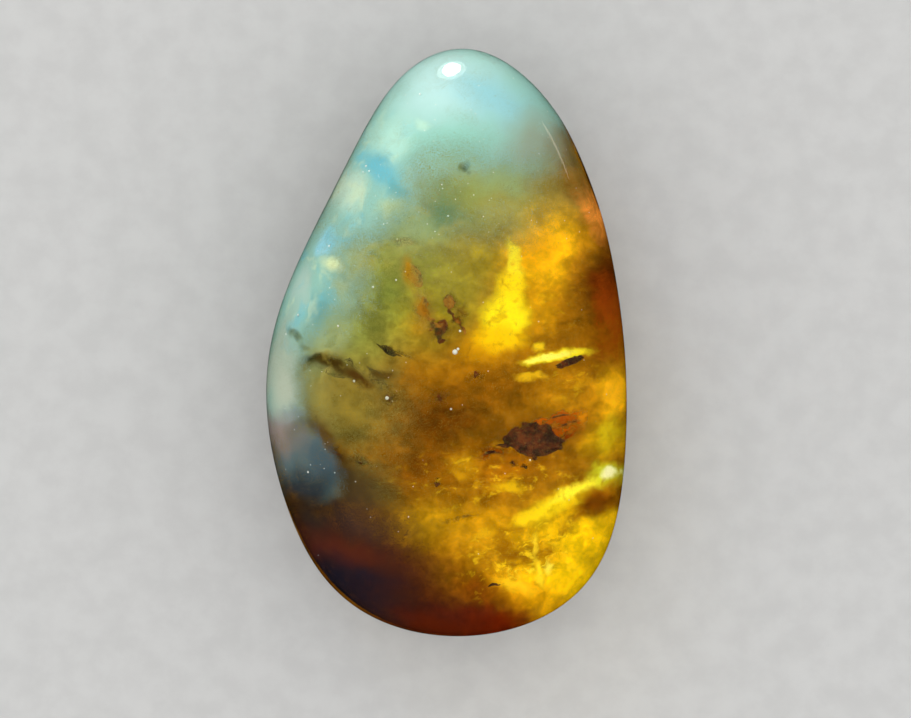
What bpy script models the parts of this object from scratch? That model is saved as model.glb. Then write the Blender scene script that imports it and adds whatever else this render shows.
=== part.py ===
"""A polished amber pebble, lying on its back, with bark and plant debris sealed inside it.

The narrow end points along +Y, the front faces up along +Z, and the origin is the middle of the
footprint. The stone is one piece. It is parted in two level halves only so that the debris, which
gathered on the seam between two flows of resin, lies in pockets of its own.
"""

import math

import bmesh
import bpy
import numpy
from mathutils import Vector, noise

MM = 0.001

# The stone, in millimetres
HALF_LENGTH = 15.0
# Left and right edge of the stone, seen from the front, at seven heights along it
EDGES = (
    (13.6, -2.3, 3.95),
    (10.0, -4.7, 6.6),
    (5.0, -7.2, 8.3),
    (0.0, -9.0, 9.05),
    (-5.0, -9.05, 9.15),
    (-10.0, -7.5, 8.35),
    (-13.6, -4.45, 5.6),
)
FRONT_SWELL = 0.76  # height of the front dome, as a share of the half width
BACK_SWELL = 0.62  # depth of the back, as a share of the half width
TIP_FULLNESS = 0.16  # how much fuller than that the stone is at its tip, and flatter at its broad end
REST_CUT = 0.30  # what the polished resting spot takes off the back
STONE_DETAIL = 5  # how finely the starting sphere is divided

# Slow waves that polishing by hand leaves
WAVE_LENGTH = 9.0
WAVE_HEIGHT = 0.07

# A small ground facet on the upper right flank
FACET_FACING = (0.90, 0.36, 0.25)
FACET_DEPTH = 0.20
FACET_SOFTNESS = 0.06

# The level seam that holds the debris, as a height above the surface that the stone lies on
SEAM_HEIGHT = 7.8
SEAM_GAP = 0.30
POCKET_GAP = 0.30
POCKET_DETAIL = 2

# Debris on the seam: place across and along, length, width, thickness, turn in degrees
BARK_FLAKE = ((3.97, -4.80), 3.30, 1.85, 0.72, -7.0)
BARK_SPLINTER = ((5.65, -0.99), 1.70, 0.46, 0.36, 16.0)
WOOD_CRUMBS = (
    ((-1.37, 3.12), 1.60, 0.80, 0.48, 115.0),
    ((0.13, 1.87), 0.95, 0.56, 0.40, 95.0),
    ((-0.22, 0.62), 1.10, 0.72, 0.44, 60.0),
)
PLANT_DEBRIS = (
    ((-5.05, -1.30), 3.10, 0.98, 0.48, -18.0),
    ((-3.02, -1.72), 1.10, 0.58, 0.40, -50.0),
    ((-2.54, -0.48), 1.05, 0.44, 0.34, -38.0),
)
# How finely the sphere that a chip starts from is divided, by the least length that it suits
CHIP_DETAIL = ((3.2, 4), (1.2, 3), (0.0, 2))
RAGGEDNESS = 0.36  # how far the hollows of a chip reach in, as a share of its size
LUMPS = 1.7  # lumps and hollows across half a chip
CRUMBLE = 4.6  # the finer crumble on them
END_TAPER = 0.45  # how much narrower a chip is at its ends

SHARP_ANGLE = math.radians(35)


def clear_scene():
    for thing in list(bpy.data.objects):
        bpy.data.objects.remove(thing, do_unlink=True)


def principled(name, colour, roughness, transmission=0.0, refraction=1.5):
    material = bpy.data.materials.new(name)
    material.use_nodes = True
    shader = material.node_tree.nodes["Principled BSDF"]
    shader.inputs["Base Color"].default_value = (*colour, 1.0)
    shader.inputs["Roughness"].default_value = roughness
    shader.inputs["Metallic"].default_value = 0.0
    shader.inputs["Transmission Weight"].default_value = transmission
    shader.inputs["IOR"].default_value = refraction
    return material


def add_object(name, shape, material):
    """Turns a shape in millimetres into a named object in metres."""
    bmesh.ops.scale(shape, vec=Vector((MM, MM, MM)), verts=shape.verts)
    mesh = bpy.data.meshes.new(name)
    shape.to_mesh(mesh)
    shape.free()
    mesh.shade_smooth()
    mesh.set_sharp_from_angle(angle=SHARP_ANGLE)
    mesh.materials.append(material)
    thing = bpy.data.objects.new(name, mesh)
    bpy.context.scene.collection.objects.link(thing)
    return thing


def curve_through(levels, values):
    return numpy.poly1d(numpy.polyfit(levels, values, len(levels) - 1))


def edge_curves():
    """The stone's middle line and half width along it, from -1 at the broad end to 1 at the tip.

    The half width is given before it closes round at the two ends.
    """
    levels = [height / HALF_LENGTH for height, _, _ in EDGES]
    middles = [(left + right) / 2 for _, left, right in EDGES]
    swells = [
        (right - left) / 2 / math.sqrt(1 - level * level)
        for level, (_, left, right) in zip(levels, EDGES)
    ]
    return curve_through(levels, middles), curve_through(levels, swells)


def grind_facet(shape):
    """Draws all that stands proud of the ground facet back to it, with a soft edge."""
    facing = Vector(FACET_FACING).normalized()
    level = max(facing.dot(vert.co) for vert in shape.verts) - FACET_DEPTH
    for vert in shape.verts:
        proud = facing.dot(vert.co) - level
        kept = -FACET_SOFTNESS * math.log1p(math.exp(-proud / FACET_SOFTNESS))
        vert.co += facing * (kept - proud)


def stone_shape():
    """The whole stone on the surface it lies on, before its resting spot is cut."""
    middle, swell = edge_curves()
    shape = bmesh.new()
    bmesh.ops.create_icosphere(shape, subdivisions=STONE_DETAIL, radius=1.0)
    for vert in shape.verts:
        across, along, up = vert.co
        half_width = swell(along)
        depth = half_width * (FRONT_SWELL if up > 0 else BACK_SWELL) * (1 + TIP_FULLNESS * along)
        point = Vector((middle(along) + across * half_width, along * HALF_LENGTH, up * depth))
        wave = WAVE_HEIGHT * noise.noise(point / WAVE_LENGTH)
        vert.co = point + vert.co.normalized() * wave
    grind_facet(shape)
    rest_on_surface(shape)
    return shape


def rest_on_surface(shape):
    """Centres the stone on the origin, with what the resting spot takes off below the surface."""
    spans = [(min(v.co[k] for v in shape.verts), max(v.co[k] for v in shape.verts)) for k in range(3)]
    move = Vector((-sum(spans[0]) / 2, -sum(spans[1]) / 2, -spans[2][0] - REST_CUT))
    bmesh.ops.translate(shape, vec=move, verts=shape.verts)


def keep_side(shape, height, upper):
    """Cuts the shape level at a height, keeps one side of it and closes the cut with a flat face."""
    cut = bmesh.ops.bisect_plane(
        shape,
        geom=[*shape.verts, *shape.edges, *shape.faces],
        plane_co=Vector((0, 0, height)),
        plane_no=Vector((0, 0, 1)),
        clear_inner=upper,
        clear_outer=not upper,
    )
    rim = [part for part in cut["geom_cut"] if isinstance(part, bmesh.types.BMEdge)]
    bmesh.ops.edgenet_fill(shape, edges=rim)
    bmesh.ops.recalc_face_normals(shape, faces=shape.faces)


def chip_shape(size, detail, seed):
    """A ragged chip with pointed ends, inside an oval of the given length, width and thickness."""
    shape = bmesh.new()
    bmesh.ops.create_icosphere(shape, subdivisions=detail, radius=1.0)
    offset = Vector((seed * 7.3, seed * 3.1, seed * 5.7))
    for vert in shape.verts:
        lumps = noise.noise(vert.co * LUMPS + offset)
        crumble = noise.noise(vert.co * CRUMBLE - offset)
        hollow = 0.5 + 0.5 * max(-1.0, min(1.0, 1.1 * lumps + 0.55 * crumble))
        taper = 1 - END_TAPER * vert.co.x**2
        reach = 1 - RAGGEDNESS * hollow
        spread = Vector((size[0], size[1] * taper, size[2])) / 2
        vert.co = reach * vert.co * spread
    return shape


def pocket_cutter(name, chip, size):
    """The hollow round a chip, an oval with room on every side."""
    shape = bmesh.new()
    bmesh.ops.create_icosphere(shape, subdivisions=POCKET_DETAIL, radius=1.0)
    spread = Vector(size) / 2 + Vector((POCKET_GAP, POCKET_GAP, POCKET_GAP))
    bmesh.ops.scale(shape, vec=spread, verts=shape.verts)
    cutter = add_object(name, shape, chip.data.materials[0])
    cutter.location = chip.location
    cutter.rotation_euler = chip.rotation_euler
    cutter.hide_render = True
    cutter.display_type = "WIRE"
    return cutter


def add_chip(name, form, material, seed):
    """Adds one chip of debris on the seam, and returns the cutter of its pocket."""
    place, length, width, thickness, turn = form
    size = (length, width, thickness)
    detail = next(fineness for least, fineness in CHIP_DETAIL if length > least)
    chip = add_object(name, chip_shape(size, detail, seed), material)
    chip.location = Vector((place[0], place[1], SEAM_HEIGHT)) * MM
    chip.rotation_euler = (0.0, 0.0, math.radians(turn))
    return pocket_cutter(f"{name}_pocket", chip, size)


def add_debris():
    bark = principled("bark", (0.09, 0.045, 0.022), 0.85)
    wood = principled("rotten_wood", (0.22, 0.09, 0.02), 0.80)
    plant = principled("plant_matter", (0.13, 0.10, 0.03), 0.85)
    pockets = [
        add_chip("bark_flake", BARK_FLAKE, bark, seed=1),
        add_chip("bark_splinter", BARK_SPLINTER, bark, seed=2),
    ]
    for number, form in enumerate(WOOD_CRUMBS, start=1):
        pockets.append(add_chip(f"wood_crumb_{number}", form, wood, seed=10 + number))
    for number, form in enumerate(PLANT_DEBRIS, start=1):
        pockets.append(add_chip(f"plant_debris_{number}", form, plant, seed=20 + number))
    return pockets


def add_half(name, shape, material, pockets):
    half = add_object(name, shape, material)
    for pocket in pockets:
        cut = half.modifiers.new(pocket.name, "BOOLEAN")
        cut.operation = "DIFFERENCE"
        cut.solver = "EXACT"
        cut.object = pocket
    return half


def add_stone(pockets):
    amber = principled("amber", (0.80, 0.45, 0.07), 0.06, transmission=1.0, refraction=1.54)
    front = stone_shape()
    keep_side(front, SEAM_HEIGHT + SEAM_GAP / 2, upper=True)
    add_half("amber_front", front, amber, pockets)
    back = stone_shape()
    keep_side(back, SEAM_HEIGHT - SEAM_GAP / 2, upper=False)
    keep_side(back, 0.0, upper=True)
    add_half("amber_back", back, amber, pockets)


def main():
    clear_scene()
    pockets = add_debris()
    add_stone(pockets)


if __name__ == "__main__":
    main()
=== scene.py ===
import math
import random

import bmesh
import bpy
import numpy
from mathutils import Matrix, Vector, noise
from mathutils.bvhtree import BVHTree


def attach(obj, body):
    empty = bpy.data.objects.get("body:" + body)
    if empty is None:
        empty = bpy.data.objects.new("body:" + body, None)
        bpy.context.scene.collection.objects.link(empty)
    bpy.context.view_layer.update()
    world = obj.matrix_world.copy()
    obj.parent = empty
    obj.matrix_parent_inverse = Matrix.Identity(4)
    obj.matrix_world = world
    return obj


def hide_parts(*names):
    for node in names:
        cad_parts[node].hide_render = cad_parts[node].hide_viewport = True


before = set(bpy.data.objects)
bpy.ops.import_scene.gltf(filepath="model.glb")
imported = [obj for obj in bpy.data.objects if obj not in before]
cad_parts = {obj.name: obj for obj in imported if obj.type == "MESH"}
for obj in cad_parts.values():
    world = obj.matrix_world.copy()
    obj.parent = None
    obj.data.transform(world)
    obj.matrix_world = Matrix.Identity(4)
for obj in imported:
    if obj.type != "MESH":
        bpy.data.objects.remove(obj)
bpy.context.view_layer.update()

# A polished amber pebble on its back, seen straight from above, as the photograph shows its front.
# Lengths are in millimetres unless a name says otherwise. Shapes are turned into metres when they
# become objects.
MM = 0.001

# The stone, as in the CAD model
HALF_LENGTH = 15.0
EDGES = (
    (13.6, -2.3, 3.95),
    (10.0, -4.7, 6.6),
    (5.0, -7.2, 8.3),
    (0.0, -9.0, 9.05),
    (-5.0, -9.05, 9.15),
    (-10.0, -7.5, 8.35),
    (-13.6, -4.45, 5.6),
)
FRONT_SWELL = 0.76
BACK_SWELL = 0.62
TIP_FULLNESS = 0.16
REST_CUT = 0.30
WAVE_LENGTH = 9.0
WAVE_HEIGHT = 0.07
FACET_FACING = (0.90, 0.36, 0.25)
FACET_DEPTH = 0.20
FACET_SOFTNESS = 0.06
SEAM_HEIGHT = 7.8
WIDEST_HEIGHT = 5.4  # where the stone is widest, which sets the scale of the view

# The photograph's frame, and how much of the stone a pixel shows
PHOTO_WIDTH = 911
PHOTO_HEIGHT = 718
STONE_MIDDLE_PIXEL = (446.5, 342.5)
STONE_LENGTH_PIXELS = 587
PIXEL = 2 * HALF_LENGTH / STONE_LENGTH_PIXELS

# The specks that the hazes are made of
SPECK_SIZE = 0.01

# How finely the starting sphere is divided
SKIN_DETAIL = 7
LAYER_DETAIL = 6
SHARP_DEGREES = 30

# Depth of the layers inside the stone, measured in from its skin
VEIL_DEPTH = 0.35
HAZE_DEPTH = 1.30

# The deep part of the stone, against the whole stone, and the flow folds on it
HEART_WIDTH = 0.77
HEART_LENGTH = 0.88
HEART_HEIGHT = 0.46
HEART_FLOOR = 1.2
FOLD_SIZE = 2.2
FOLD_HEIGHT = 0.25
# The deep part's glow is painted: emission that stands in for light gathering in the stone.
HEART_PAINTED_GLOW = 0.13  # light that gathers deep in the stone, as a share of the colour there

# The camera and the lights
CAMERA_LENS = 180.0
SENSOR_WIDTH = 36.0
CAMERA_NEAR_METRES = 0.01
REFRACTION = 1.54
WORLD_LIGHT = 2.1
KEY_POWER = 0.70
SUN_POWER = 0.25
GLOW_POWER = 0.16
RIM_POWER = 0.012


def linear(code):
    """A colour socket's value for an sRGB hex colour."""
    parts = [int(code[k : k + 2], 16) / 255 for k in (1, 3, 5)]
    return (*[p / 12.92 if p <= 0.04045 else ((p + 0.055) / 1.055) ** 2.4 for p in parts], 1.0)


# Small helpers


def add_node(tree, kind, values=None, links=None, **settings):
    """Adds one node with its settings, its plain socket values and its links."""
    made = tree.nodes.new(kind)
    for name, value in settings.items():
        setattr(made, name, value)
    for socket, value in (values or {}).items():
        made.inputs[socket].default_value = value
    for socket, source in (links or {}).items():
        tree.links.new(source, made.inputs[socket])
    return made


def new_material(name):
    material = bpy.data.materials.new(name)
    material.use_nodes = True
    tree = material.node_tree
    tree.nodes.clear()
    return material, tree


def add_piece(name, shape, material):
    """Turns a shape in millimetres into a piece in metres that rides on the stone."""
    bmesh.ops.scale(shape, vec=Vector((MM, MM, MM)), verts=shape.verts)
    mesh = bpy.data.meshes.new(name)
    shape.to_mesh(mesh)
    shape.free()
    mesh.shade_smooth()
    mesh.materials.append(material)
    piece = bpy.data.objects.new(name, mesh)
    bpy.context.scene.collection.objects.link(piece)
    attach(piece, "root")
    return piece


def photo_place(pixel, height):
    """The point at a height that a pixel of the photograph shows, with nothing in the way."""
    across = (pixel[0] - STONE_MIDDLE_PIXEL[0]) * PIXEL
    along = (STONE_MIDDLE_PIXEL[1] - pixel[1]) * PIXEL
    return Vector((across, along, height))


# The stone's form


def curve_through(levels, values):
    return numpy.poly1d(numpy.polyfit(levels, values, len(levels) - 1))


def edge_curves():
    levels = [height / HALF_LENGTH for height, _, _ in EDGES]
    middles = [(left + right) / 2 for _, left, right in EDGES]
    swells = [
        (right - left) / 2 / math.sqrt(1 - level * level)
        for level, (_, left, right) in zip(levels, EDGES)
    ]
    return curve_through(levels, middles), curve_through(levels, swells)


def grind_facet(shape):
    facing = Vector(FACET_FACING).normalized()
    level = max(facing.dot(vert.co) for vert in shape.verts) - FACET_DEPTH
    for vert in shape.verts:
        proud = facing.dot(vert.co) - level
        kept = -FACET_SOFTNESS * math.log1p(math.exp(-proud / FACET_SOFTNESS))
        vert.co += facing * (kept - proud)


def rest_on_floor(shape):
    spans = [
        (min(vert.co[k] for vert in shape.verts), max(vert.co[k] for vert in shape.verts))
        for k in range(3)
    ]
    move = Vector((-sum(spans[0]) / 2, -sum(spans[1]) / 2, -spans[2][0] - REST_CUT))
    bmesh.ops.translate(shape, vec=move, verts=shape.verts)


def stone_shape(detail):
    """The whole stone, before its resting spot is cut."""
    middle, swell = edge_curves()
    shape = bmesh.new()
    bmesh.ops.create_icosphere(shape, subdivisions=detail, radius=1.0)
    for vert in shape.verts:
        across, along, up = vert.co
        half_width = swell(along)
        depth = half_width * (FRONT_SWELL if up > 0 else BACK_SWELL) * (1 + TIP_FULLNESS * along)
        point = Vector((middle(along) + across * half_width, along * HALF_LENGTH, up * depth))
        wave = WAVE_HEIGHT * noise.noise(point / WAVE_LENGTH)
        vert.co = point + vert.co.normalized() * wave
    grind_facet(shape)
    rest_on_floor(shape)
    return shape


def layer_shape(depth):
    """A layer inside the stone, a given depth in from its skin."""
    shape = stone_shape(LAYER_DETAIL)
    shape.normal_update()
    for vert in shape.verts:
        vert.co -= vert.normal * depth
        vert.co.z = max(vert.co.z, depth)
    return shape


# Patterns

# How far a pattern is pushed about and over what length, broadly and then finely
SOFT_DRIFT = (0.9, 3.0, 0.35, 0.9)
HEART_DRIFT = (0.5, 3.0, 0.40, 0.8)
CRISP_DRIFT = (0.30, 1.2, 0.22, 0.45)
STAIN_DRIFT = (0.35, 0.9, 0.25, 0.35)


def warped_place(tree, reach, size, fine_reach, fine_size):
    """The object's own coordinates, pushed about so that no edge in a pattern runs straight."""
    place = add_node(tree, "ShaderNodeTexCoord").outputs["Object"]
    for amount, wave in ((reach, size), (fine_reach, fine_size)):
        drift = add_node(
            tree,
            "ShaderNodeTexNoise",
            {"Scale": 1 / (wave * MM), "Detail": 2.0, "Roughness": 0.5},
            {"Vector": place},
        )
        centred = add_node(
            tree,
            "ShaderNodeVectorMath",
            {1: (0.5, 0.5, 0.5)},
            {0: drift.outputs["Color"]},
            operation="SUBTRACT",
        )
        pushed = add_node(
            tree,
            "ShaderNodeVectorMath",
            {1: (2 * amount * MM,) * 3},
            {0: centred.outputs["Vector"], 2: place},
            operation="MULTIPLY_ADD",
        )
        place = pushed.outputs["Vector"]
    return place


def cloudy(tree, place, size, low, high, detail=4.0):
    """Cloudy noise with lumps of a size in millimetres, spread from 0 at low to 1 at high."""
    lumps = add_node(
        tree,
        "ShaderNodeTexNoise",
        {"Scale": 1 / (size * MM), "Detail": detail, "Roughness": 0.55},
        {"Vector": place},
    )
    spread = add_node(
        tree,
        "ShaderNodeMapRange",
        {"From Min": low, "From Max": high},
        {"Value": lumps.outputs["Fac"]},
        interpolation_type="SMOOTHSTEP",
    )
    return spread.outputs["Result"]


def spots(tree, place, patches):
    """For each patch, a socket with its strength inside its oval and 0 outside, softly edged."""
    turned = {0: place}
    found = []
    for centre, reach, turn, softness, strength, *_ in patches:
        back = math.radians(-turn)
        if turn not in turned:
            laid = add_node(
                tree, "ShaderNodeMapping", {"Rotation": (0.0, 0.0, back)}, {"Vector": place}
            )
            turned[turn] = laid.outputs["Vector"]
        scale = Vector([1 / (length * MM) for length in reach])
        middle = Matrix.Rotation(back, 3, "Z") @ centre
        oval = add_node(
            tree,
            "ShaderNodeVectorMath",
            {1: scale, 2: -scale * middle * MM},
            {0: turned[turn]},
            operation="MULTIPLY_ADD",
        )
        ball = add_node(
            tree,
            "ShaderNodeTexGradient",
            links={"Vector": oval.outputs["Vector"]},
            gradient_type="SPHERICAL",
        )
        edge = add_node(
            tree,
            "ShaderNodeMapRange",
            {"From Max": softness, "To Max": strength},
            {"Value": ball.outputs["Fac"]},
            interpolation_type="SMOOTHSTEP",
        )
        found.append(edge.outputs["Result"])
    return found


def combine(tree, operation, first, second):
    """Two sockets or plain values worked into one, which is kept between 0 and 1."""
    made = add_node(tree, "ShaderNodeMath", operation=operation)
    for socket, source in zip(made.inputs, (first, second)):
        if isinstance(source, (int, float)):
            socket.default_value = source
        else:
            tree.links.new(source, socket)
    made.use_clamp = True
    return made.outputs["Value"]


def combine_raw(tree, operation, first, value):
    """As combine, with a plain second value and a result that may be below 0."""
    made = add_node(tree, "ShaderNodeMath", {1: value}, {0: first}, operation=operation)
    return made.outputs["Value"]


def laid_over(tree, below, colour, share):
    """A colour laid over another one, as far as share says."""
    mix = add_node(tree, "ShaderNodeMix", data_type="RGBA")
    for socket, source in (("Factor_Float", share), ("A_Color", below), ("B_Color", colour)):
        target = next(s for s in mix.inputs if s.identifier == socket)
        if isinstance(source, (tuple, float)):
            target.default_value = source
        else:
            tree.links.new(source, target)
    return next(s for s in mix.outputs if s.identifier == "Result_Color")


def shaded(tree, colour, light, least, most):
    """A colour made darker or brighter, from least where light is 0 to most where it is 1."""
    strength = add_node(
        tree, "ShaderNodeMapRange", {"To Min": least, "To Max": most}, {"Value": light}
    )
    made = add_node(
        tree,
        "ShaderNodeVectorMath",
        links={0: colour, "Scale": strength.outputs["Result"]},
        operation="SCALE",
    )
    return made.outputs["Vector"]


def painted(tree, ground, patches, shares, whole=None):
    """A ground colour with patches laid over it in order, fainter where they aren't whole."""
    colour = ground
    for patch, share in zip(patches, shares):
        if whole:
            share = combine(tree, "MULTIPLY", share, whole)
        colour = laid_over(tree, colour, linear(patch[-1]), share)
    return colour


# Seeing into the stone


def camera_place():
    distance = PHOTO_WIDTH * PIXEL * CAMERA_LENS / SENSOR_WIDTH
    return photo_place((PHOTO_WIDTH / 2, PHOTO_HEIGHT / 2), WIDEST_HEIGHT + distance)


def look_in(pixel, skin):
    """Where a ray from the camera through a pixel enters the amber, and which way it goes on.

    A pixel beside the stone has no such place, and gives None.
    """
    eye = camera_place()
    way = (photo_place(pixel, WIDEST_HEIGHT) - eye).normalized()
    entry, facing, _, _ = skin.ray_cast(eye, way)
    if entry is None:
        return None
    steep = -facing.dot(way)
    sink = math.sqrt(1 - (1 - steep * steep) / REFRACTION**2)
    return entry, (way / REFRACTION + facing * (steep / REFRACTION - sink)).normalized()


def seen_on_layer(pixel, skin, layer):
    """The point of a layer inside the stone that shows at a pixel, or a point beside the stone."""
    look = look_in(pixel, skin)
    if look is None:
        return photo_place(pixel, WIDEST_HEIGHT)
    entry, way = look
    found = layer.ray_cast(entry, way)[0]
    return found if found else entry + way * HAZE_DEPTH


def seen_on_level(pixel, skin, height):
    """The point at a height inside the stone that shows at a pixel."""
    entry, way = look_in(pixel, skin)
    return entry + way * ((height - entry.z) / way.z)


def tree_of(shape):
    return BVHTree.FromBMesh(shape)


# Materials. A patch of a pattern is: the pixel where it shows, its reach in pixels across, along
# and into the stone, its turn in degrees, how soft its edge is, its strength, and its colour.


def placed(patches, find):
    """Patches with their pixels turned into places in the stone, and their reach into lengths."""
    return [(find(pixel), Vector(reach) * PIXEL, *rest) for pixel, reach, *rest in patches]


def thickness(tree, shares):
    """How thick a haze is where several clouds of it lie over each other."""
    clear = 1.0
    for share in shares:
        clear = combine(tree, "MULTIPLY", clear, combine(tree, "SUBTRACT", 1.0, share))
    return combine(tree, "SUBTRACT", 1.0, clear)


def dusted(tree, place, thick):
    """A haze as specks of dust, each one solid, so close together that they blend for the eye."""
    speck = add_node(
        tree,
        "ShaderNodeVectorMath",
        {1: (SPECK_SIZE * MM,) * 3},
        {0: place},
        operation="SNAP",
    )
    chance = add_node(
        tree,
        "ShaderNodeTexWhiteNoise",
        links={"Vector": speck.outputs["Vector"]},
        noise_dimensions="3D",
    )
    return combine(tree, "LESS_THAN", chance.outputs["Value"], thick)


def thinned(tree, thick, gaps, strength):
    """A haze made thinner where there are gaps, without a crease at its edge."""
    left = combine(tree, "SUBTRACT", 1.0, combine(tree, "MULTIPLY", gaps, strength))
    return combine(tree, "MULTIPLY", thick, left)


def dull(tree, colour, glow=0.0):
    """A dull skin inside the amber, which may have a painted glow: emission that stands in for
    light gathered in the stone.
    """
    return add_node(
        tree,
        "ShaderNodeBsdfPrincipled",
        {"Roughness": 0.8, "Specular IOR Level": 0.0, "Emission Strength": glow},
        {"Base Color": colour, "Emission Color": colour},
    ).outputs[0]


def end_layer(tree, colour, alpha):
    """Ends a material of fine bubbles, dust or stain inside the amber.

    Where there is little of it, it is see-through, and lamp light goes on to what is deeper.
    """
    clear = add_node(tree, "ShaderNodeBsdfTransparent").outputs[0]
    seen = add_node(
        tree, "ShaderNodeMixShader", links={0: alpha, 1: clear, 2: dull(tree, colour)}
    )
    ray = add_node(tree, "ShaderNodeLightPath")
    lit = add_node(
        tree,
        "ShaderNodeMixShader",
        links={0: ray.outputs["Is Shadow Ray"], 1: seen.outputs[0], 2: clear},
    )
    add_node(tree, "ShaderNodeOutputMaterial", links={"Surface": lit.outputs[0]})


# The amber's skin: how large its worn parts and its scratches are, and how deep the scratches go
WORN_SIZE = 3.0
SCRATCH_SIZE = 0.45
SCRATCH_DEPTH = 0.02
SCRATCH_STRENGTH = 0.025
SKIN_ROUGHNESS = (0.03, 0.08)

# What the amber swallows of the light on its way: little red, some green and most of the blue
AMBER_DEPTH = "#FCF1B8"
AMBER_DENSITY = 70.0


def polished_amber():
    """Fossil resin polished by hand: clear, glossy, honey coloured in depth, faintly scratched."""
    material, tree = new_material("polished_amber")
    place = add_node(tree, "ShaderNodeTexCoord").outputs["Object"]
    worn = cloudy(tree, place, WORN_SIZE, 0.35, 0.75)
    roughness = add_node(
        tree,
        "ShaderNodeMapRange",
        {"To Min": SKIN_ROUGHNESS[0], "To Max": SKIN_ROUGHNESS[1]},
        {"Value": worn},
    )
    swirl = add_node(
        tree,
        "ShaderNodeTexNoise",
        {"Scale": 1 / (SCRATCH_SIZE * MM), "Detail": 5.0, "Roughness": 0.6},
        {"Vector": place},
    )
    polish = add_node(
        tree,
        "ShaderNodeBump",
        {"Strength": SCRATCH_STRENGTH, "Distance": SCRATCH_DEPTH * MM},
        {"Height": swirl.outputs["Fac"]},
    )
    skin = add_node(
        tree,
        "ShaderNodeBsdfPrincipled",
        {
            "Base Color": linear("#FFFBF2"),
            "IOR": REFRACTION,
            "Transmission Weight": 1.0,
        },
        {"Roughness": roughness.outputs["Result"], "Normal": polish.outputs["Normal"]},
    )
    lamp_way = add_node(tree, "ShaderNodeBsdfTransparent", {"Color": linear("#FBF6EC")})
    ray = add_node(tree, "ShaderNodeLightPath")
    surface = add_node(
        tree,
        "ShaderNodeMixShader",
        links={0: ray.outputs["Is Shadow Ray"], 1: skin.outputs[0], 2: lamp_way.outputs[0]},
    )
    depth = add_node(
        tree,
        "ShaderNodeVolumeAbsorption",
        {"Color": linear(AMBER_DEPTH), "Density": AMBER_DENSITY},
    )
    add_node(
        tree,
        "ShaderNodeOutputMaterial",
        links={"Surface": surface.outputs[0], "Volume": depth.outputs[0]},
    )
    return material


# How far patches reach into the stone, in pixels: right through it, or into its front alone
THROUGH = 230
FRONT = 110

VEIL_CLOUDS = (
    ((458, 60), (160, 140, THROUGH), 0, 0.5, 1.0),
    ((520, 125), (75, 80, THROUGH), 0, 0.8, 0.8),
    ((372, 175), (62, 110, THROUGH), -30, 0.7, 0.95),
    ((300, 285), (52, 105, THROUGH), -20, 0.7, 1.0),
    ((274, 396), (43, 90, THROUGH), 0, 0.8, 1.0),
    ((308, 468), (48, 42, THROUGH), -30, 0.5, 0.97),
    ((450, 190), (120, 75, THROUGH), 0, 1.0, 0.26),
    ((345, 290), (40, 70, THROUGH), -20, 1.0, 0.5),
)

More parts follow.
